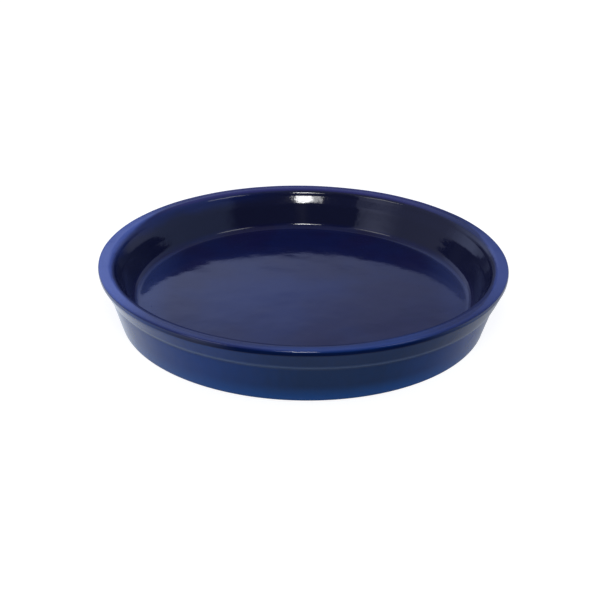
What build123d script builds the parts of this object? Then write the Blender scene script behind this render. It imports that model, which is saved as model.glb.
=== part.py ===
from build123d import *
from math import cos, radians, sin, tan
import os

# Round glazed saucer for a plant pot, in millimetres.
# It stands on Z = 0, and the Z axis runs up through the middle of its foot ring.

# Outside sizes of the finished saucer, glaze included
saucer_diameter = 300.0
saucer_height = 44.0
glaze_thickness = 0.6

# Foot: the turned ring that it stands on, and the shallow recess inside the ring
foot_diameter = 270.0
foot_ring_width = 9.0
foot_recess = 3.5
foot_edge_radius = 1.0
recess_corner_radius = 2.0
recess_draft_angle = 20.0

# Floor and wall, of bare clay
floor_thickness = 9.0
wall_thickness = 9.8
cove_radius = 6.5

# Collar: the band round the rim, which leans out and stands proud of the wall below it
collar_height = 13.3
collar_lean_angle = 24.5
collar_step = 1.0
collar_step_angle = 15.0
collar_edge_radius = 0.5
collar_root_radius = 0.7

# Rim: its flat top, and the flare that opens the wall towards it on the inside
rim_width = 9.2
rim_outer_radius = 1.6
rim_inner_radius = 2.4
flare_height = 9.6
flare_blend_radius = 14.0

# The outer coat stops short of the table in a round roll, and the clay below it stays bare.
# This is the height of the roll's middle.
bare_line_height = 0.7

# How far the shapes that divide the coat run past it
overrun = 5.0

# Heights of the clay, from the table up
rim_top = saucer_height - glaze_thickness
collar_bottom = rim_top - collar_height
wall_top = collar_bottom - collar_step * tan(radians(collar_step_angle))
flare_bottom = rim_top - flare_height
floor_top = foot_recess + floor_thickness

# Radii of the clay, from the middle out
foot_radius = foot_diameter / 2
foot_inside = foot_radius - foot_ring_width
recess_radius = foot_inside - foot_recess * tan(radians(recess_draft_angle))
rim_radius = saucer_diameter / 2 - glaze_thickness
rim_inside = rim_radius - rim_width
rim_crest = (rim_radius + rim_inside) / 2

# The rim's outer edge is rounded, so its sharp corner lies outside the radius that it reaches.
collar_lean = radians(collar_lean_angle)
rim_corner = rim_radius + rim_outer_radius * ((1 + sin(collar_lean)) / cos(collar_lean) - 1)
collar_radius = rim_corner - collar_height * tan(collar_lean)
wall_top_radius = collar_radius - collar_step


def wall_outside(height):
    # The wall's outer face leans out in a straight line from the foot to the collar.
    return foot_radius + (wall_top_radius - foot_radius) * height / wall_top


def wall_middle(height):
    return wall_outside(height) - wall_thickness / 2


def wall_inside(height):
    # The wall keeps one thickness, so its inner face is parallel to the outer one.
    return wall_outside(height) - wall_thickness


def clay_section():
    # Half section of the clay: each corner with its radius, from the underside round to the floor.
    corners = [
        ((0, foot_recess), 0),
        ((recess_radius, foot_recess), recess_corner_radius),
        ((foot_inside, 0), foot_edge_radius),
        ((foot_radius, 0), foot_edge_radius),
        ((wall_top_radius, wall_top), collar_root_radius),
        ((collar_radius, collar_bottom), collar_edge_radius),
        ((rim_corner, rim_top), rim_outer_radius),
        ((rim_inside, rim_top), rim_inner_radius),
        ((wall_inside(flare_bottom), flare_bottom), flare_blend_radius),
        ((wall_inside(floor_top), floor_top), cove_radius),
        ((0, floor_top), 0),
    ]
    points = [point for point, radius in corners]
    radii = [radius for point, radius in corners]
    return make_face(FilletPolyline(points, radius=radii, close=True))


def coat_band(clay):
    # The glaze lies on the clay as a skin of one thickness.
    return offset(clay, glaze_thickness, kind=Kind.ARC) - clay


def glaze_seam():
    # The two coats meet on the rim's crest. Below it the line between them runs down inside the wall.
    return [
        (rim_crest, saucer_height + overrun),
        (rim_crest, rim_top - rim_width / 2),
        (wall_middle(flare_bottom), flare_bottom),
    ]


def inner_region():
    # All that lies above the underside and inside the rim's crest.
    inside_floor = foot_recess + floor_thickness / 2
    points = glaze_seam() + [
        (wall_middle(inside_floor), inside_floor),
        (0, inside_floor),
        (0, saucer_height + overrun),
    ]
    return make_face(Polyline(points, close=True))


def outer_region():
    # All that lies outside the rim's crest and above the bare line at the foot.
    outside = max(saucer_diameter, foot_diameter) / 2 + overrun
    points = glaze_seam() + [
        (wall_middle(bare_line_height), bare_line_height),
        (outside, bare_line_height),
        (outside, saucer_height + overrun),
    ]
    return make_face(Polyline(points, close=True))


def rolled_lower_edge(coat, clay):
    # The lower edge of the outer coat ends in a round roll of glaze.
    cut_edge = coat.edges().sort_by(Axis.Y)[0]
    roll = Pos(cut_edge.center()) * Circle(cut_edge.length / 2)
    return coat + roll - clay


def turned(section):
    # Stands a half section upright and turns it all the way round the saucer's axis.
    return revolve(Plane.XZ * section, Axis.Z)


clay = clay_section()
coat = coat_band(clay)

saucer_parts = {
    "clay_body": turned(clay),
    "inner_glaze": turned(coat & inner_region()),
    "outer_glaze": turned(rolled_lower_edge(coat & outer_region(), clay)),
}

os.makedirs("parts", exist_ok=True)
for name, shape in saucer_parts.items():
    export_step(shape, f"parts/{name}.step")
    print(name, "volume", round(shape.volume / 1000, 2), "cm3")
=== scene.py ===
from math import atan2, ceil, cos, pi, radians, sin, tan

import bpy
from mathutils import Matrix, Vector


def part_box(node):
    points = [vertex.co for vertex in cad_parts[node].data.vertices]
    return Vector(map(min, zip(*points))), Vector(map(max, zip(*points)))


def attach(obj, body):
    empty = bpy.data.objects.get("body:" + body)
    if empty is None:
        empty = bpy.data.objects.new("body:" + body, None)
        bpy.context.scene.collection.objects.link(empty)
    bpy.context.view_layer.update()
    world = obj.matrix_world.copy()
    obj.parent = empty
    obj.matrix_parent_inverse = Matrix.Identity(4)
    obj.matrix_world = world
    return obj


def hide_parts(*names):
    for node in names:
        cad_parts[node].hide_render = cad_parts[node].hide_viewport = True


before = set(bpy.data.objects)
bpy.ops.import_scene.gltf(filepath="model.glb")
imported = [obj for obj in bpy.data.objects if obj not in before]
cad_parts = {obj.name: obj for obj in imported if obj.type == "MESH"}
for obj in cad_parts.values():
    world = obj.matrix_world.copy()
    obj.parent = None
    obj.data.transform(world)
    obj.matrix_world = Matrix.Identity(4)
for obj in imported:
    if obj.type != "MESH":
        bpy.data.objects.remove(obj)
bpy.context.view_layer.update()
scene = bpy.context.scene
scene.view_settings.view_transform = "Standard"
mm = 0.001
print("frame loaded")


# Shader maths: a wire is one socket's value, and sums of wires add Math nodes.
class Wire:
    def __init__(self, bench, socket):
        self.bench = bench
        self.socket = socket

    def __add__(self, other):
        return self.bench.maths("ADD", self, other)

    def __radd__(self, other):
        return self.bench.maths("ADD", other, self)

    def __sub__(self, other):
        return self.bench.maths("SUBTRACT", self, other)

    def __rsub__(self, other):
        return self.bench.maths("SUBTRACT", other, self)

    def __mul__(self, other):
        return self.bench.maths("MULTIPLY", self, other)

    def __rmul__(self, other):
        return self.bench.maths("MULTIPLY", other, self)

    def __pow__(self, other):
        return self.bench.maths("POWER", self, other)


class ShaderBench:
    def __init__(self, owner):
        owner.use_nodes = True
        self.owner = owner
        self.nodes = owner.node_tree.nodes
        self.links = owner.node_tree.links
        self.nodes.clear()

    # Adds a node: its settings first, then the values or wires of its sockets.
    def add(self, kind, settings=None, sockets=None, out=0):
        node = self.nodes.new(kind)
        for key, value in (settings or {}).items():
            setattr(node, key, value)
        for key, value in (sockets or {}).items():
            if isinstance(value, Wire):
                self.links.new(value.socket, node.inputs[key])
            else:
                node.inputs[key].default_value = value
        return Wire(self, node.outputs[out]) if len(node.outputs) else None

    def maths(self, operation, first, second=0.0):
        return self.add("ShaderNodeMath", {"operation": operation}, {0: first, 1: second})

    def step(self, value, low, high):
        return self.add("ShaderNodeMapRange", {"interpolation_type": "SMOOTHSTEP"},
                        {"Value": value, "From Min": low, "From Max": high})

    # 1 round a middle, fading to 0 on either side between the near and the far distance from it
    def lobe(self, value, middle, near, far):
        return 1 - self.step(self.maths("ABSOLUTE", value - middle), near, far)

    def blendColours(self, factor, first, second):
        return self.add("ShaderNodeMix", {"data_type": "RGBA"}, {0: factor, 6: first, 7: second}, out=2)

    def noise(self, vector, size, detail=2.0, roughness=0.5):
        return self.add("ShaderNodeTexNoise", sockets={
            "Vector": vector, "Scale": 1 / size, "Detail": detail, "Roughness": roughness})

    # Rounded dots at random places: 1 in the middle of a dot, 0 from its edge on
    def dots(self, vector, spacing, radius):
        away = self.add("ShaderNodeTexVoronoi", sockets={"Vector": vector, "Scale": 1 / spacing})
        return 1 - self.step(away, 0, radius / spacing)

    def bump(self, height, distance, under=None):
        sockets = {"Height": height, "Distance": distance, "Strength": 1.0}
        if under:
            sockets["Normal"] = under
        return self.add("ShaderNodeBump", sockets=sockets)

    def place(self):
        return self.add("ShaderNodeTexCoord", out="Object")

    def axes(self, vector):
        return [self.add("ShaderNodeSeparateXYZ", sockets={0: vector}, out=axis) for axis in range(3)]

    def radius(self, across, along):
        return (across * across + along * along) ** 0.5

    # Angle about the upright axis: 0 in front, growing to the right
    def turn(self, across, along):
        return self.maths("ARCTAN2", across, along * -1)

    def finish(self, kind, shader):
        self.add(kind, sockets={"Surface": shader})
        return self.owner


def newMaterial(name):
    return ShaderBench(bpy.data.materials.new(name))


# The outside sizes of the saucer come from the frame, the rest from the photograph.
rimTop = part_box("outer_glaze")[1]
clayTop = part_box("clay_body")[1]
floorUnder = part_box("inner_glaze")[0]
coatThickness = rimTop.z - clayTop.z

saucer = {
    "rimRadius": rimTop.x,
    "rimClearance": 0.05 * mm,     # the section's sharp corner stays this far inside it
    "height": rimTop.z,
    "floor": floorUnder.z + coatThickness,
    "footRadius": 135.62 * mm,     # of the glazed wall, carried down to the table
    "wallLean": 15.42,             # degrees
    "wallThickness": 11.04 * mm,   # across, glaze included
    "wallBend": 25.0 * mm,         # height at which the inner wall turns a little steeper
    "wallBendIn": 0.55 * mm,
    "wallBendRound": 60 * mm,
    "wallFootIn": 1.9 * mm,
    "collarHeight": 15.4 * mm,
    "collarStep": 0.9 * mm,
    "collarRoot": 0.3 * mm,        # from the collar's lower edge down to the wall below it
    "collarRootRound": 0.35 * mm,
    "collarRound": 1.0 * mm,
    "collarTilt": 0.0125,          # the collar's lower edge sinks towards the right by this slope
    "tiltedBand": 2.7 * mm,
    "tiltFade": 9.0 * mm,
    "rimWidth": 10.4 * mm,         # between the sharp corners of the section
    "rimRound": 1.4 * mm,
    "rimEdge": 3.3 * mm,           # the upright face between the rim's top and the collar
    "rimEdgeIn": 0.1 * mm,
    "rimEdgeRound": 1.6 * mm,
    "lipRound": 6.0 * mm,
    "lipHeight": 5.2 * mm,         # the bead at the rim's inner edge
    "lipLean": 23.0,
    "lipFootRound": 3.0 * mm,
    "flareHeight": 11.6 * mm,
    "flareOut": 0.055 * mm,
    "flareBlend": 13.4 * mm,
    "coveRound": 7.0 * mm,
    "discRadius": 118.0 * mm,      # the middle of the floor, closed by a grid
    "crown": 0.5 * mm,             # how much the middle of the floor stands up
    "lowerEdge": 0.4 * mm,         # where the outer coat ends above the table
    "edgeRoll": 0.22 * mm,
    "edgeRollAngle": 60,           # edges sharper than this, in degrees, are rolled
    "edgeRollSteps": 3,
    "segments": 384,
    "runLength": 2.2 * mm,         # longest step along the section
    "roundSteps": 3,               # fewest steps round a corner
    "roundAngle": 9,               # and the widest of them, in degrees
    "leastRound": 0.2 * mm,
}


# Stations along a section whose corners are rounded: each corner is radius, height, rounding.
def roundedOutline(corners, runLength):
    path = []
    for index, (across, up, rounding) in enumerate(corners):
        corner = Vector((across, up))
        if rounding == 0:
            path.append(corner)
            continue
        before = (Vector(corners[index - 1][:2]) - corner).normalized()
        after = (Vector(corners[index + 1][:2]) - corner).normalized()
        halfAngle = before.angle(after) / 2
        reach = rounding / tan(halfAngle)
        centre = corner + (before + after).normalized() * rounding / sin(halfAngle)
        start = corner + before * reach - centre
        turn = start.angle_signed(corner + after * reach - centre)
        byLength = ceil(abs(turn) * rounding / runLength)
        byAngle = ceil(abs(turn) / radians(saucer["roundAngle"]))
        steps = max(saucer["roundSteps"], byLength, byAngle)
        for step in range(steps + 1):
            angle = -turn * step / steps
            path.append(centre + Vector((start.x * cos(angle) - start.y * sin(angle),
                                         start.x * sin(angle) + start.y * cos(angle))))
    stations = [path[0]]
    for point in path[1:]:
        begin = stations[-1]
        run = point - begin
        parts = max(1, ceil(run.length / runLength))
        stations += [begin + run * part / parts for part in range(1, parts + 1)]
    return stations


# The same corners a little deeper in the pot: the surface of the clay under its glaze
def underGlaze(corners, depth):
    points = [Vector(corner[:2]) for corner in corners]
    deeper = []
    for index, (across, up, rounding) in enumerate(corners):
        here = points[index]
        before = here - points[index - 1] if index else points[1] - here
        after = points[index + 1] - here if index + 1 < len(points) else before
        firstSide = Vector((-before.y, before.x)).normalized()
        nextSide = Vector((-after.y, after.x)).normalized()
        inside = here + (firstSide + nextSide) * depth / (1 + firstSide.dot(nextSide))
        bulges = before.x * after.y - before.y * after.x > 0
        newRounding = max(saucer["leastRound"], rounding - depth if bulges else rounding + depth)
        deeper.append((inside.x, inside.y, newRounding if rounding else 0))
    return deeper


def startEditing(piece):
    bpy.ops.object.select_all(action="DESELECT")
    piece.select_set(True)
    bpy.context.view_layer.objects.active = piece
    bpy.ops.object.mode_set(mode="EDIT")


# Opens a piece for editing with only those of its points selected that the test picks.
def selectPoints(piece, picked):
    startEditing(piece)
    bpy.ops.mesh.select_all(action="DESELECT")
    bpy.ops.object.mode_set(mode="OBJECT")
    for vertex in piece.data.vertices:
        vertex.select = picked(vertex.co)
    bpy.ops.object.mode_set(mode="EDIT")


# Turns a piece as on a wheel: a ring at the first station is drawn out through the others.
def turnOnWheel(name, stations, segments):
    bpy.ops.object.select_all(action="DESELECT")
    first = stations[0]
    bpy.ops.mesh.primitive_circle_add(vertices=segments, radius=first.x, location=(0, 0, first.y))
    piece = bpy.context.object
    piece.name = name
    piece.data.name = name
    bpy.ops.object.transform_apply(location=True, rotation=True, scale=True)
    startEditing(piece)
    bpy.ops.mesh.select_all(action="SELECT")
    for here, there in zip(stations, stations[1:]):
        bpy.ops.mesh.extrude_region_move(TRANSFORM_OT_translate={"value": (0, 0, there.y - here.y)})
        grow = there.x / here.x
        bpy.ops.transform.resize(value=(grow, grow, 1), center_override=(0, 0, there.y))
    bpy.ops.mesh.fill_grid()
    bpy.ops.mesh.select_all(action="SELECT")
    bpy.ops.mesh.normals_make_consistent(inside=False)
    bpy.ops.object.mode_set(mode="OBJECT")
    return piece


# Lifts the middle of the floor into a low crown, as the clay stands after drying.
def crownFloor(piece, floor):
    middle = Vector((0, 0, floor))
    spots = [vertex.co.copy() for vertex in piece.data.vertices]
    nearest = min(spots, key=lambda spot: (spot - middle).length)
    selectPoints(piece, lambda spot: spot == nearest)
    bpy.ops.transform.translate(
        value=(0, 0, saucer["crown"]), use_proportional_edit=True, use_proportional_connected=True,
        proportional_edit_falloff="SMOOTH", proportional_size=saucer["discRadius"])
    bpy.ops.object.mode_set(mode="OBJECT")


# The collar's lower edge runs a little aslant. A band round it is turned about the point of the axis
# that lies square to the wall, so that the band slides along the wall's own slope.
def tiltCollar(piece):
    collarFoot = saucer["height"] - saucer["collarHeight"]
    pivot = collarFoot + wallOutside(collarFoot) * tan(radians(saucer["wallLean"]))

    def onBand(spot):
        wallMiddle = (wallOutside(spot.z) + wallInside(spot.z)) / 2
        return abs(spot.z - collarFoot) < saucer["tiltedBand"] and spot.xy.length > wallMiddle

    selectPoints(piece, onBand)
    bpy.ops.transform.rotate(
        value=-saucer["collarTilt"], orient_axis="Y", orient_type="GLOBAL", center_override=(0, 0, pivot),
        use_proportional_edit=True, use_proportional_connected=True,
        proportional_edit_falloff="SMOOTH", proportional_size=saucer["tiltFade"])
    bpy.ops.object.mode_set(mode="OBJECT")
    lowest = min((vertex.co for vertex in piece.data.vertices if vertex.select), key=lambda spot: spot.z)
    print(piece.name, "collar tilted, lowest at", [round(value / mm, 1) for value in lowest])


def applyModifier(piece, modifier):
    bpy.context.view_layer.objects.active = piece
    bpy.ops.object.modifier_apply(modifier=modifier.name)


# Waves that the hand and the kiln leave in the surface: length and height of each
waves = {
    "broadWaves": (46 * mm, 0.30 * mm),
    "shortWaves": (17 * mm, 0.13 * mm),
    "footKept": 2.0 * mm,          # nothing moves below this, so that the foot stands flat
}


def handMade(piece):
    group = piece.vertex_groups.new(name="aboveFoot")
    raised = [vertex.index for vertex in piece.data.vertices if vertex.co.z > waves["footKept"]]
    group.add(raised, 1.0, "REPLACE")
    for name in ("broadWaves", "shortWaves"):
        length, height = waves[name]
        texture = bpy.data.textures.get(name) or bpy.data.textures.new(name, "CLOUDS")
        texture.noise_scale = length
        texture.noise_depth = 1
        ripple = piece.modifiers.new(name, "DISPLACE")
        ripple.texture = texture
        ripple.texture_coords = "LOCAL"
        ripple.mid_level = 0.5
        ripple.strength = height
        ripple.vertex_group = group.name
        applyModifier(piece, ripple)


def wallOutside(up):
    return saucer["footRadius"] + up * tan(radians(saucer["wallLean"]))


def wallInside(up):
    return wallOutside(up) - saucer["wallThickness"]


# The glaze's outer surface, from its lower edge up the wall, over the rim and down to the floor
def glazeCorners():
    top = saucer["height"]
    floor = saucer["floor"]
    edge = saucer["lowerEdge"]
    collarFoot = top - saucer["collarHeight"]
    collarRadius = wallOutside(collarFoot) + saucer["collarStep"]
    collarRoot = collarFoot - saucer["collarRoot"]
    rimCorner = saucer["rimRadius"] - saucer["rimClearance"]
    rimInside = rimCorner - saucer["rimWidth"]
    lipFoot = top - saucer["lipHeight"]
    lipRadius = rimInside - saucer["lipHeight"] * tan(radians(saucer["lipLean"]))
    flareFoot = top - saucer["flareHeight"]
    bend = saucer["wallBend"]
    return [
        (wallOutside(edge), edge, 0),
        (wallOutside(collarRoot), collarRoot, saucer["collarRootRound"]),
        (collarRadius, collarFoot, saucer["collarRound"]),
        (rimCorner - saucer["rimEdgeIn"], top - saucer["rimEdge"], saucer["rimEdgeRound"]),
        (rimCorner, top, saucer["rimRound"]),
        (rimInside, top, saucer["lipRound"]),
        (lipRadius, lipFoot, saucer["lipFootRound"]),
        (wallInside(flareFoot) + saucer["flareOut"], flareFoot, saucer["flareBlend"]),
        (wallInside(bend) - saucer["wallBendIn"], bend, saucer["wallBendRound"]),
        (wallInside(floor) - saucer["wallFootIn"], floor, saucer["coveRound"]),
        (saucer["discRadius"], floor, 0),
    ]


# One coat of glaze over the whole pot but its underside, with a rolled lower edge
def makeGlazeCoat():
    stations = roundedOutline(glazeCorners(), saucer["runLength"])
    coat = turnOnWheel("glazeCoat", stations, saucer["segments"])
    crownFloor(coat, saucer["floor"])
    tiltCollar(coat)
    handMade(coat)
    skin = coat.modifiers.new("coatThickness", "SOLIDIFY")
    skin.thickness = coatThickness
    skin.offset = -1
    applyModifier(coat, skin)
    roll = coat.modifiers.new("rolledEdge", "BEVEL")
    roll.limit_method = "ANGLE"
    roll.angle_limit = radians(saucer["edgeRollAngle"])
    roll.width = saucer["edgeRoll"]
    roll.segments = saucer["edgeRollSteps"]
    applyModifier(coat, roll)
    coat.data.shade_smooth()
    print("glaze coat turned:", len(coat.data.polygons), "faces")
    return coat


clay = {
    "foot": 135.0 * mm,
    "footWall": 4.0 * mm,          # height up to which the clay's foot is turned with the underside
    "ringWidth": 9.0 * mm,
    "ringRound": 1.0 * mm,
    "recess": 3.5 * mm,
    "recessLean": 20.0,
    "recessRound": 2.0 * mm,
    "recessFlat": 1.0 * mm,        # left plain between the turned rings and the recess's corner
    "turningPitch": 4.2 * mm,      # from one line of the turning tool to the next
    "turningDepth": 0.25 * mm,
    "turningShares": ((0.35, 1.0), (0.75, 0.7)),   # where a line's two points lie: of its pitch and depth
    "middle": 3.0 * mm,
    "middleReach": 1.05,
    "footRun": 2.0 * mm,           # longest step along the section of the foot
    "wallRun": 3.0 * mm,           # and of what the glaze covers
    "segments": 256,
}


# The underside: the foot ring, and the recess with the rings that the turning tool left in it
def undersideStations():
    ringInside = clay["foot"] - clay["ringWidth"]
    recess = clay["recess"]
    wallFoot = ringInside - recess * tan(radians(clay["recessLean"]))
    turned = wallFoot - clay["recessRound"] - clay["recessFlat"]
    rings = int((turned - clay["middle"]) / clay["turningPitch"])
    pitch = (turned - clay["middle"]) / rings
    stations = []
    for ring in range(rings):
        begin = clay["middle"] + ring * pitch
        stations.append(Vector((begin, recess)))
        for share, deep in clay["turningShares"]:
            stations.append(Vector((begin + pitch * share, recess + clay["turningDepth"] * deep)))
    top = clay["footWall"]
    corners = [
        (turned, recess, 0),
        (wallFoot, recess, clay["recessRound"]),
        (ringInside, 0, clay["ringRound"]),
        (clay["foot"], 0, clay["ringRound"]),
        (wallOutside(top) - coatThickness / cos(radians(saucer["wallLean"])), top, 0),
    ]
    return stations + roundedOutline(corners, clay["footRun"])


def makeClayBody():
    upper = underGlaze(glazeCorners(), coatThickness)
    stations = undersideStations() + roundedOutline(upper[1:], clay["wallRun"])[1:]
    body = turnOnWheel("clayBody", stations, clay["segments"])
    crownFloor(body, saucer["floor"] - coatThickness)
    hole = clay["middle"] * clay["middleReach"]
    selectPoints(body, lambda spot: spot.z < 2 * clay["recess"] and spot.xy.length < hole)
    bpy.ops.mesh.merge(type="CENTER")
    bpy.ops.mesh.select_all(action="SELECT")
    bpy.ops.mesh.normals_make_consistent(inside=False)
    bpy.ops.object.mode_set(mode="OBJECT")
    tiltCollar(body)
    handMade(body)
    body.data.shade_smooth()
    print("clay body turned:", len(body.data.polygons), "faces")
    return body


glazeColours = {
    "deep": (0.0036, 0.0056, 0.036, 1),     # thick glaze in the basin
    "violet": (0.0050, 0.0055, 0.042, 1),
    "blue": (0.0040, 0.0072, 0.050, 1),
    "side": (0.0110, 0.0220, 0.100, 1),     # at the left and right ends of the floor
    "pool": (0.0035, 0.0140, 0.095, 1),     # in the middle of the floor
    "wall": (0.0075, 0.0095, 0.034, 1),     # on the inner wall
    "blush": (0.0045, 0.0150, 0.110, 1),    # high on it at the left
    "lip": (0.0030, 0.0090, 0.068, 1),      # on the rim's top
    "lipFront": (0.0045, 0.0240, 0.128, 1),
    "lipBack": (0.0200, 0.0220, 0.125, 1),
    "edge": (0.0040, 0.0140, 0.070, 1),     # painted dark reflection on the rim's upright edge
    "outside": (0.0042, 0.0410, 0.152, 1),  # on the outer wall
    # bluer streaks on the outer wall, partly painted light towards the sides
    "outsideBlue": (0.0060, 0.0680, 0.330, 1),
    "ridgeGlazeAndHighlight": (0.1200, 0.2100, 0.410, 1),    # thin glaze, with a painted highlight, along the collar's lower edge
    "foot": (0.0110, 0.1200, 0.450, 1),
    "thin": (0.0480, 0.0820, 0.305, 1),     # over the rim, where it runs off, with painted light at its sides
}

# In the tables of marks, a noise is its size, detail and roughness. A pair is where a fade starts and ends.
# A lobe is its middle and the distances from it between which it fades.
glazeMarks = {
    "wallMiddle": 130.1 * mm,            # radius of the wall's middle at the table
    "wallSlope": 0.276,
    "outside": (-1 * mm, 3 * mm),        # from the wall's middle out
    "front": (-60 * mm, 10 * mm),
    "clouds": (42 * mm, 2.0),
}


# Where a point of the glaze lies: across is to the right and along to the back.
class GlazePlace:
    def __init__(self, bench):
        self.spot = bench.place()
        self.across, self.along, self.up = bench.axes(self.spot)
        self.distance = bench.maths("ABSOLUTE", self.across)
        self.radius = bench.radius(self.across, self.along)
        self.turn = bench.turn(self.across, self.along)
        self.tilted = self.up + self.across * saucer["collarTilt"]
        wallMiddle = glazeMarks["wallMiddle"] + self.up * glazeMarks["wallSlope"]
        self.outside = bench.step(self.radius - wallMiddle, *glazeMarks["outside"])
        self.front = 1 - bench.step(self.along, *glazeMarks["front"])
        self.clouds = bench.noise(self.spot, *glazeMarks["clouds"])


basinMarks = {
    "violet": (0.42, 0.62),              # of the clouds
    "smudges": (9 * mm, 3.0, 0.6),
    "smudgeFade": (0.35, 0.75),
    "smudgeDepth": 0.5,
    "poolMiddle": (-22 * mm, -10 * mm),
    "poolRagged": 80 * mm,
    "poolFade": (0, 95 * mm),
    "poolDepth": 0.6,
    "endsReach": (92 * mm, 118 * mm),    # from the middle to either side
    "endsHeight": (13.3 * mm, 14.9 * mm),
    "endsRight": (0, 100 * mm),
    "endsRightLoss": 0.35,
    "wallHeight": (14.5 * mm, 19 * mm),
    "blushTurn": (-2.1, 0.4, 1.1),       # a lobe, in radians from the front
    "blushHeight": (34 * mm, 42 * mm),
    "blushRagged": 10 * mm,
    "blushDepth": 0.7,
}


# Cloudy mottling of the thick glaze in the basin, bluer in the middle of the floor and at its ends
def basinColour(bench, at):
    mark = basinMarks
    violet = bench.step(at.clouds, *mark["violet"])
    colour = bench.blendColours(violet, glazeColours["blue"], glazeColours["violet"])
    smudges = bench.step(bench.noise(at.spot, *mark["smudges"]), *mark["smudgeFade"])
    colour = bench.blendColours(smudges * mark["smudgeDepth"], colour, glazeColours["deep"])
    poolAcross, poolAlong = mark["poolMiddle"]
    fromPool = bench.radius(at.across - poolAcross, at.along - poolAlong)
    pool = 1 - bench.step(fromPool + (at.clouds - 0.5) * mark["poolRagged"], *mark["poolFade"])
    colour = bench.blendColours(pool * mark["poolDepth"], colour, glazeColours["pool"])
    ends = bench.step(at.distance, *mark["endsReach"]) * (1 - bench.step(at.up, *mark["endsHeight"]))
    ends = ends * (1 - bench.step(at.across, *mark["endsRight"]) * mark["endsRightLoss"])
    colour = bench.blendColours(ends, colour, glazeColours["side"])
    colour = bench.blendColours(bench.step(at.up, *mark["wallHeight"]), colour, glazeColours["wall"])
    raggedUp = at.up + (at.clouds - 0.5) * mark["blushRagged"]
    blush = bench.lobe(at.turn, *mark["blushTurn"]) * bench.step(raggedUp, *mark["blushHeight"])
    return bench.blendColours(blush * mark["blushDepth"], colour, glazeColours["blush"])


skirtMarks = {
    "streakReach": (-5 * mm, 80 * mm),   # from the middle to either side
    "streakLate": (0, 40 * mm),          # to the right of this the streaks start further out
    "streakLateBy": 46 * mm,
    "streakBase": 0.55,
    "streakClouds": (50 * mm, 2.0),
    "streakCloudDepth": 0.9,
    "collarHeight": (27 * mm, 30 * mm),  # the collar has few streaks on its right half
    "collarRight": (0, 50 * mm),
    "collarLoss": 0.8,
    "runStretch": (1, 1, 0.1),
    "runs": (6 * mm, 3.0, 0.6),
    "runDepth": 0.4,
    # The rim's upright edge is painted darker, a painted dark reflection, fading out towards the sides
    "edgeHeight": (39.6 * mm, 40.8 * mm),
    "edgeRadius": (147.6 * mm, 149.0 * mm),
    "paintedDarkLineReach": (70 * mm, 115 * mm),
    "paintedDarkLineSideLoss": 0.8,
}


# Bluer streaks and upright runs on the outer wall, more of them towards its two sides: glaze runs, with
# painted light that is strongest at the left
def outerStreaksAndPaintedLight(bench, at):
    mark = skirtMarks
    reach = at.distance - bench.step(at.across, *mark["streakLate"]) * mark["streakLateBy"]
    clouds = bench.noise(at.spot, *mark["streakClouds"]) * mark["streakCloudDepth"]
    streaksAndPaintedLight = bench.step(reach, *mark["streakReach"]) * (mark["streakBase"] + clouds)
    onCollar = bench.step(at.tilted, *mark["collarHeight"]) * bench.step(at.across, *mark["collarRight"])
    streaksAndPaintedLight = streaksAndPaintedLight * (1 - onCollar * mark["collarLoss"])
    stretch = {0: at.spot, 1: mark["runStretch"]}
    drawn = bench.add("ShaderNodeVectorMath", {"operation": "MULTIPLY"}, stretch)
    runs = bench.noise(drawn, *mark["runs"]) - 0.5
    return bench.maths("MAXIMUM", streaksAndPaintedLight + runs * mark["runDepth"], 0.0)


def skirtColour(bench, at, streaksAndPaintedLight):
    mark = skirtMarks
    colour = bench.blendColours(streaksAndPaintedLight, glazeColours["outside"], glazeColours["outsideBlue"])
    # painted dark reflection on the rim's upright edge, less towards the sides
    upright = bench.step(at.up, *mark["edgeHeight"]) * bench.step(at.radius, *mark["edgeRadius"])
    upright = upright * (1 - bench.step(at.distance, *mark["paintedDarkLineReach"]) * mark["paintedDarkLineSideLoss"])
    return bench.blendColours(upright, colour, glazeColours["edge"])


lipMarks = {
    "frontReach": (30 * mm, 25 * mm, 75 * mm),     # a lobe across
    "back": (60 * mm, 130 * mm),
    "insideReach": (20 * mm, 75 * mm),
    "insideRadius": (141 * mm, 147 * mm),
    "innerEdgeShadeDepth": 0.9,
    "height": (42.2 * mm, 43.4 * mm),
}


# The rim's top: bluer in front, paler at the back, and with painted shade on its inner side in front
def lipColour(bench, at):
    mark = lipMarks
    middle = at.front * bench.lobe(at.across, *mark["frontReach"])
    colour = bench.blendColours(middle, glazeColours["lip"], glazeColours["lipFront"])
    colour = bench.blendColours(bench.step(at.along, *mark["back"]), colour, glazeColours["lipBack"])
    # painted shade on the rim's inner side in front
    inside = at.front * (1 - bench.step(at.distance, *mark["insideReach"]))
    inside = inside * (1 - bench.step(at.radius, *mark["insideRadius"]))
    return bench.blendColours(inside * mark["innerEdgeShadeDepth"], colour, glazeColours["deep"])


thinMarks = {
    "wander": (14 * mm, 3.0),
    "wanderReach": 1.6 * mm,
    "ridgeLine": (28.8 * mm, 0, 2.6 * mm),         # a lobe of height
    "ridgeWander": 0.3,
    "ridgeBase": 0.70,
    "ridgeStreaks": 0.3,
    "ridgeDepth": 0.9,
    "footFade": (0, 14 * mm),
    "left": (-1.52, 0.40, 0.87),                   # lobes, in radians from the front
    "leftWide": (-1.45, 0.15, 1.25),
    "right": (1.5, 0.15, 0.75),
    "innerRadius": 147.0 * mm,                     # where the thin glaze of the rim starts
    "innerLeft": 8.0 * mm,
    "innerRight": 6.0 * mm,
    "innerFront": 3.4 * mm,
    "innerFade": 1.2 * mm,
    "innerFadeLeft": 1.5 * mm,
    "outerFade": 1.0 * mm,
    "wallFade": (35 * mm, 43 * mm),
    "topFade": (41.0 * mm, 43.6 * mm),
    "edgeRadius": (148.8 * mm, 149.9 * mm),
    "edgeHeight": (42.6 * mm, 43.9 * mm),
    "base": 0.12,
    "leftThinAndLight": 0.88,
    "rightThinAndLight": 0.42,
}
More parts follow.
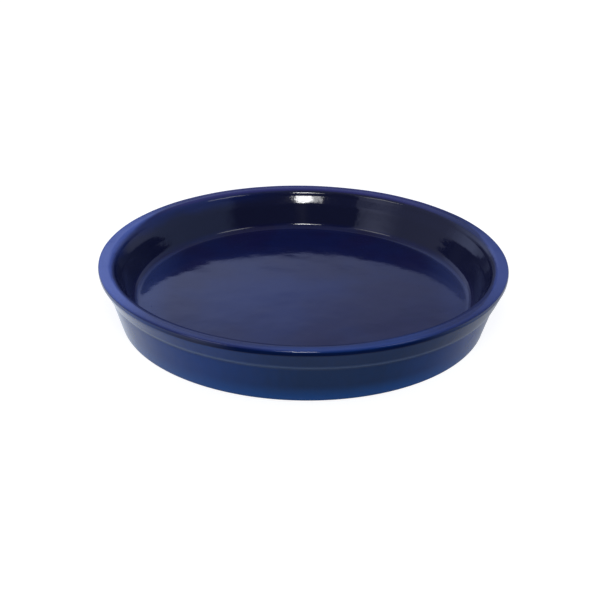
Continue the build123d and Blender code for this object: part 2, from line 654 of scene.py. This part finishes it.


# Thin glaze along the collar's lower edge, at the foot, and over the rim, most at its two sides. The
# collar's line also carries a painted highlight, and the rim's sides, strongest at the left, carry painted
# light.
def thinGlazeAndPaintedLight(bench, at, colour, streaksAndPaintedLight):
    mark = thinMarks
    wander = (bench.noise(at.spot, *mark["wander"]) - 0.5) * mark["wanderReach"]
    # painted highlight and thin glaze along the collar's lower edge
    ridgeGlazeAndHighlight = bench.lobe(at.tilted + wander * mark["ridgeWander"], *mark["ridgeLine"])
    ridgeGlazeAndHighlight = ridgeGlazeAndHighlight * at.outside * (mark["ridgeBase"] + streaksAndPaintedLight * mark["ridgeStreaks"])
    colour = bench.blendColours(ridgeGlazeAndHighlight * mark["ridgeDepth"], colour, glazeColours["ridgeGlazeAndHighlight"])
    foot = (1 - bench.step(at.up + wander, *mark["footFade"])) * at.outside
    colour = bench.blendColours(foot, colour, glazeColours["foot"])
    # the rim's lighter sides, strongest at the left: thin glaze and painted light
    left = bench.lobe(at.turn, *mark["left"])
    leftWide = bench.lobe(at.turn, *mark["leftWide"])
    right = bench.lobe(at.turn, *mark["right"])
    inner = mark["innerRadius"] - leftWide * mark["innerLeft"] - right * mark["innerRight"]
    inner = inner + leftWide * at.front * mark["innerFront"]
    fadeFrom = inner - mark["innerFade"] - left * mark["innerFadeLeft"]
    height = bench.step(at.up, *mark["wallFade"]) * 0.5 + bench.step(at.up, *mark["topFade"]) * 0.5
    below = 1 - bench.step(at.up, *mark["edgeHeight"])
    height = height * (1 - bench.step(at.radius, *mark["edgeRadius"]) * below)
    rim = bench.step(at.radius + wander, fadeFrom, inner + mark["outerFade"]) * height
    thinGlazeAndLightAmount = mark["base"] + left * mark["leftThinAndLight"] + right * mark["rightThinAndLight"]
    return bench.blendColours(rim * thinGlazeAndLightAmount, colour, glazeColours["thin"])


glazeSkin = {
    "ripple": (12 * mm, 1.5),
    "rippleDepth": 0.085 * mm,
    "wallRipple": (6 * mm, 1.5),
    "wallRippleDepth": 0.06 * mm,
    "wallHeight": (17 * mm, 24 * mm),
    "rimRipple": (2.6 * mm, 1.0),
    "rimRippleDepth": 0.04 * mm,
    "rimHeight": (41.6 * mm, 42.6 * mm),
    "peel": (1.8 * mm, 2.0),
    "peelDepth": 0.020 * mm,
    "grains": (11 * mm, 0.5 * mm),                 # spacing and radius
    "grainHeight": 0.08 * mm,
    "roughness": 0.06,
    "hazeDepth": 0.05,
    "haze": (5 * mm, 3.0),
    "refraction": 1.47,
}


# The skin of the glaze: slow ripples, orange peel and a few grains under it
def glazeNormal(bench, at):
    skin = glazeSkin
    normal = bench.bump(bench.noise(at.spot, *skin["ripple"]), skin["rippleDepth"])
    onWall = bench.step(at.up, *skin["wallHeight"]) * (1 - at.outside)
    normal = bench.bump(bench.noise(at.spot, *skin["wallRipple"]) * onWall, skin["wallRippleDepth"], normal)
    onRim = bench.step(at.up, *skin["rimHeight"])
    normal = bench.bump(bench.noise(at.spot, *skin["rimRipple"]) * onRim, skin["rimRippleDepth"], normal)
    normal = bench.bump(bench.noise(at.spot, *skin["peel"]), skin["peelDepth"], normal)
    return bench.bump(bench.dots(at.spot, *skin["grains"]), skin["grainHeight"], normal)


def cobaltGlaze():
    bench = newMaterial("cobaltGlaze")
    at = GlazePlace(bench)
    streaksAndPaintedLight = outerStreaksAndPaintedLight(bench, at)
    colour = bench.blendColours(at.outside, basinColour(bench, at), skirtColour(bench, at, streaksAndPaintedLight))
    colour = bench.blendColours(bench.step(at.up, *lipMarks["height"]), colour, lipColour(bench, at))
    colour = thinGlazeAndPaintedLight(bench, at, colour, streaksAndPaintedLight)
    roughness = glazeSkin["roughness"] + bench.noise(at.spot, *glazeSkin["haze"]) * glazeSkin["hazeDepth"]
    shader = bench.add("ShaderNodeBsdfPrincipled", sockets={
        "Base Color": colour, "Roughness": roughness, "IOR": glazeSkin["refraction"],
        "Normal": glazeNormal(bench, at)})
    return bench.finish("ShaderNodeOutputMaterial", shader)


clayFinish = {
    "brown": (0.43, 0.24, 0.14, 1),
    "tan": (0.60, 0.39, 0.25, 1),
    "sandColour": (0.36, 0.20, 0.12, 1),
    "speckColour": (0.16, 0.09, 0.06, 1),
    "patches": (35 * mm, 3.0),
    "sand": (1.1 * mm, 4.0, 0.7),
    "sandFade": (0.35, 0.7),
    "sandDepth": 0.4,
    "sandHeight": 0.18 * mm,
    "specks": (4.5 * mm, 0.35 * mm),               # spacing and radius
    "speckDepth": 0.7,
    "roughness": 0.88,
    "refraction": 1.45,
}


def bareClay():
    bench = newMaterial("bareClay")
    finish = clayFinish
    place = bench.place()
    sand = bench.noise(place, *finish["sand"])
    colour = bench.blendColours(bench.noise(place, *finish["patches"]), finish["brown"], finish["tan"])
    sandy = bench.step(sand, *finish["sandFade"]) * finish["sandDepth"]
    colour = bench.blendColours(sandy, colour, finish["sandColour"])
    specks = bench.dots(place, *finish["specks"]) * finish["speckDepth"]
    colour = bench.blendColours(specks, colour, finish["speckColour"])
    shader = bench.add("ShaderNodeBsdfPrincipled", sockets={
        "Base Color": colour, "Roughness": finish["roughness"], "IOR": finish["refraction"],
        "Normal": bench.bump(sand, finish["sandHeight"])})
    return bench.finish("ShaderNodeOutputMaterial", shader)


glazeCoat = makeGlazeCoat()
glazeCoat.data.materials.append(cobaltGlaze())
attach(glazeCoat, "root")
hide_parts("inner_glaze", "outer_glaze")

clayBody = makeClayBody()
clayBody.data.materials.append(bareClay())
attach(clayBody, "root")
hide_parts("clay_body")

studioFloor = {
    "size": 40,
    "colour": (0.33, 0.33, 0.33, 1),
    "seen": 0.82,                        # the floor's own light for the camera, which grows to white far off
    "seenFar": (0.35, 1.6),
    "glow": 0.62,                        # and for the saucer's gloss
    "glowColour": (1.0, 1.08, 1.15, 1),
    "glowAlong": (-180 * mm, -10 * mm),  # in front of this it sees only the light that falls on the floor
    "glowAcross": (-60 * mm, 60 * mm),
    "glowRightLoss": 0.6,
    "glowRound": (190 * mm, 240 * mm),   # past this, round the saucer, it sees the full glow again
    "dimRight": (20 * mm, 90 * mm),      # a dim corner in front at the right
    "dimAlong": (-115 * mm, -70 * mm),
    "dimDepth": 0.36,
}


def makeFloor():
    bpy.ops.object.select_all(action="DESELECT")
    bpy.ops.mesh.primitive_plane_add(size=studioFloor["size"], location=(0, 0, 0))
    floor = bpy.context.object
    floor.name = "studioFloor"
    bench = newMaterial("studioFloor")
    across, along, up = bench.axes(bench.place())
    away = bench.radius(across, along)
    seen = bench.add("ShaderNodeLightPath", out="Is Camera Ray")
    mirrored = bench.add("ShaderNodeLightPath", out="Is Glossy Ray")
    mirrored = mirrored + bench.add("ShaderNodeLightPath", out="Is Transmission Ray")
    dim = bench.step(across, *studioFloor["dimRight"]) * (1 - bench.step(along, *studioFloor["dimAlong"]))
    matte = bench.add("ShaderNodeBsdfDiffuse", sockets={"Color": studioFloor["colour"]})
    black = bench.add("ShaderNodeEmission", sockets={"Strength": 0.0})
    matte = bench.add("ShaderNodeMixShader", sockets={
        0: mirrored * dim * studioFloor["dimDepth"], 1: matte, 2: black})
    far = bench.step(away, *studioFloor["seenFar"]) * (1 - studioFloor["seen"])
    light = bench.add("ShaderNodeEmission", sockets={"Strength": seen * (studioFloor["seen"] + far)})
    near = 1 - bench.step(across, *studioFloor["glowAcross"]) * studioFloor["glowRightLoss"]
    near = bench.step(along, *studioFloor["glowAlong"]) * near
    glow = bench.maths("MAXIMUM", near, bench.step(away, *studioFloor["glowRound"])) * studioFloor["glow"]
    mirror = bench.add("ShaderNodeEmission", sockets={
        "Color": studioFloor["glowColour"], "Strength": mirrored * glow})
    shader = matte
    for lit in (light, mirror):
        shader = bench.add("ShaderNodeAddShader", sockets={0: shader, 1: lit})
    floor.data.materials.append(bench.finish("ShaderNodeOutputMaterial", shader))


darkCard = {
    "radius": 176 * mm,
    "height": 52 * mm,
    "facets": 180,
    "left": -36,                         # degrees from the front
    "right": 57,
    "leftFade": (-0.58, -0.30),          # radians
    "rightFade": (0.55, 1.0),
    "colour": (0.01, 0.01, 0.01, 1),
}


# A dark card round the front of the saucer, which only its gloss sees. It draws the line under the rim.
def makeDarkCard():
    bpy.ops.object.select_all(action="DESELECT")
    tall = darkCard["height"]
    bpy.ops.mesh.primitive_cylinder_add(
        vertices=darkCard["facets"], radius=darkCard["radius"], depth=tall, location=(0, 0, tall / 2),
        end_fill_type="NOTHING")
    card = bpy.context.object
    card.name = "darkCard"
    bpy.ops.object.transform_apply(location=True, rotation=True, scale=True)
    startEditing(card)
    bpy.ops.mesh.select_mode(type="FACE")
    bpy.ops.mesh.select_all(action="DESELECT")
    bpy.ops.object.mode_set(mode="OBJECT")
    for face in card.data.polygons:
        turn = atan2(face.center.x, -face.center.y)
        face.select = not radians(darkCard["left"]) < turn < radians(darkCard["right"])
    bpy.ops.object.mode_set(mode="EDIT")
    bpy.ops.mesh.delete(type="FACE")
    bpy.ops.mesh.select_mode(type="VERT")
    bpy.ops.object.mode_set(mode="OBJECT")
    bench = newMaterial("darkCard")
    across, along, up = bench.axes(bench.place())
    turn = bench.turn(across, along)
    dense = bench.step(turn, *darkCard["leftFade"]) * (1 - bench.step(turn, *darkCard["rightFade"]))
    clear = bench.add("ShaderNodeBsdfTransparent")
    black = bench.add("ShaderNodeBsdfDiffuse", sockets={"Color": darkCard["colour"]})
    shader = bench.add("ShaderNodeMixShader", sockets={0: dense, 1: clear, 2: black})
    card.data.materials.append(bench.finish("ShaderNodeOutputMaterial", shader))
    card.visible_camera = False
    card.visible_diffuse = False
    card.visible_transmission = False
    card.visible_shadow = False


# Parts of the room's light, by direction: up is 1 overhead, along 1 straight behind, across 1 to the right
room = {
    "everywhere": 0.03,
    "overhead": 0.20,
    "overheadUp": (0.72, 0.92),
    "lowUp": (0.75, 0.95),
    "behind": 0.58,
    "behindAlong": (0.25, 0.55),
    "behindTint": (0.92, 1.08, 1.75, 1),
    "behindRight": (-0.24, 0.20),
    "behindRightLoss": 0.30,
    "behindTop": (0.425, 0.50),
    "behindTopLoss": 0.2,
    "behindRise": (0.03, 0.2),
    "behindFoot": 0.35,
    "dipAlong": (0.80, 0.93),
    "dipUp": (0.34, 0.41),
    "dipDepth": 0.7,
    "left": 0.32,
    "leftTurn": (0.645, 0.665),
    "leftTint": (0.92, 1.0, 1.45, 1),
    "window": 0.55,
    "windowTurn": (-0.90, 0, 0.36),      # a lobe, in radians from the front
    "windowSill": (0.12, 0.34),
    "windowHead": (0.52, 0.62),
    "right": 0.30,
    "rightTurn": (0.82, 1.0),
    "rightTint": (0.75, 1.0, 1.7, 1),
    "stand": 0.12,                       # a pale upright stripe straight in front
    "standTurn": (0.02, 0, 0.10),
    "standUp": (0.5, 0.7),
}


# The room's soft light, brighter behind and at the left and dim in front. The camera sees it white.
def makeRoom():
    world = bpy.data.worlds.new("room")
    scene.world = world
    bench = ShaderBench(world)
    across, along, up = bench.axes(bench.add("ShaderNodeTexCoord", out="Generated"))
    turn = bench.turn(across, along)
    seen = bench.add("ShaderNodeLightPath", out="Is Camera Ray")
    overhead = bench.step(up, *room["overheadUp"]) * room["overhead"]
    low = 1 - bench.step(up, *room["lowUp"])
    behind = bench.step(along, *room["behindAlong"])
    back = room["behind"] - bench.step(across, *room["behindRight"]) * room["behindRightLoss"]
    back = behind * low * back
    back = back * (1 - bench.step(up, *room["behindTop"]) * room["behindTopLoss"])
    back = back * (room["behindFoot"] + bench.step(up, *room["behindRise"]) * (1 - room["behindFoot"]))
    dip = bench.step(along, *room["dipAlong"]) * (1 - bench.step(up, *room["dipUp"])) * room["dipDepth"]
    back = back * (1 - dip)
    sides = (1 - behind) * low
    window = bench.lobe(turn, *room["windowTurn"]) * bench.step(up, *room["windowSill"])
    window = window * (1 - bench.step(up, *room["windowHead"]))
    left = bench.step(turn * -1, *room["leftTurn"]) * sides * (room["left"] + window * room["window"])
    right = bench.step(turn, *room["rightTurn"]) * sides * room["right"]
    stand = bench.lobe(turn, *room["standTurn"]) * (1 - bench.step(up, *room["standUp"])) * room["stand"]
    neutral = room["everywhere"] + overhead + stand + seen
    light = bench.add("ShaderNodeBackground", sockets={"Color": (1, 1, 1, 1), "Strength": neutral})
    for tint, strength in (("behindTint", back), ("leftTint", left), ("rightTint", right)):
        tinted = bench.add("ShaderNodeBackground", sockets={"Color": room[tint], "Strength": strength})
        light = bench.add("ShaderNodeAddShader", sockets={0: light, 1: tinted})
    bench.finish("ShaderNodeOutputWorld", light)


# Soft lamps, placed as the back wall sees them: turn is in degrees from the front, growing to the right,
# and rise in degrees up.
lamps = {
    "distance": 1.25,
    "aim": (0, 137 * mm, 38 * mm),
    "panels": {
        "frontLamp": {"turn": 0.8, "rise": 42, "size": (0.22, 0.17), "radiance": 30},
        "frontLampDim": {"turn": -7.5, "rise": 42, "size": (0.18, 0.16), "radiance": 9},
        "leftLamp": {"turn": -56, "rise": 45, "size": (0.50, 0.20), "radiance": 3},
        "rightLamp": {"turn": 56, "rise": 46, "size": (0.50, 0.20), "radiance": 3},
        "leftFill": {"turn": -78, "rise": 50, "size": (1.30, 0.90), "radiance": 1.6},
        "rightFill": {"turn": 78, "rise": 50, "size": (1.30, 0.90), "radiance": 1.6},
    },
    "notMirrored": ("leftFill", "rightFill"),
}


def addPanel(name, panel):
    turn = radians(panel["turn"])
    rise = radians(panel["rise"])
    width, height = panel["size"]
    away = Vector((sin(turn) * cos(rise), -cos(turn) * cos(rise), sin(rise)))
    light = bpy.data.lights.new(name, "AREA")
    light.shape = "ELLIPSE"
    light.size = width
    light.size_y = height
    light.energy = panel["radiance"] * pi * width * height * pi / 4
    lamp = bpy.data.objects.new(name, light)
    scene.collection.objects.link(lamp)
    lamp.location = Vector(lamps["aim"]) + away * lamps["distance"]
    lamp.rotation_euler = away.to_track_quat("Z", "Y").to_euler()
    lamp.visible_glossy = name not in lamps["notMirrored"]


view = {
    "elevation": 26.11,            # degrees
    "roll": 0.79,
    "distance": 763.2 * mm,
    "focalPixels": 1003.85,
    "imageWidth": 600,
    "sensor": 36,
    "shiftRight": 2.07 * mm,
    "shiftUp": -4.96 * mm,
}


def makeCamera():
    lens = bpy.data.cameras.new("camera")
    lens.sensor_width = view["sensor"]
    lens.lens = view["focalPixels"] / view["imageWidth"] * view["sensor"]
    camera = bpy.data.objects.new("camera", lens)
    scene.collection.objects.link(camera)
    camera.rotation_euler = (radians(90 - view["elevation"]), 0, 0)
    camera.rotation_euler.rotate_axis("Z", radians(view["roll"]))
    turned = camera.rotation_euler.to_matrix()
    camera.location = turned @ Vector((-view["shiftRight"], -view["shiftUp"], view["distance"]))
    scene.camera = camera


makeFloor()
makeDarkCard()
makeRoom()
for name, panel in lamps["panels"].items():
    addPanel(name, panel)
makeCamera()
print("studio and camera set")
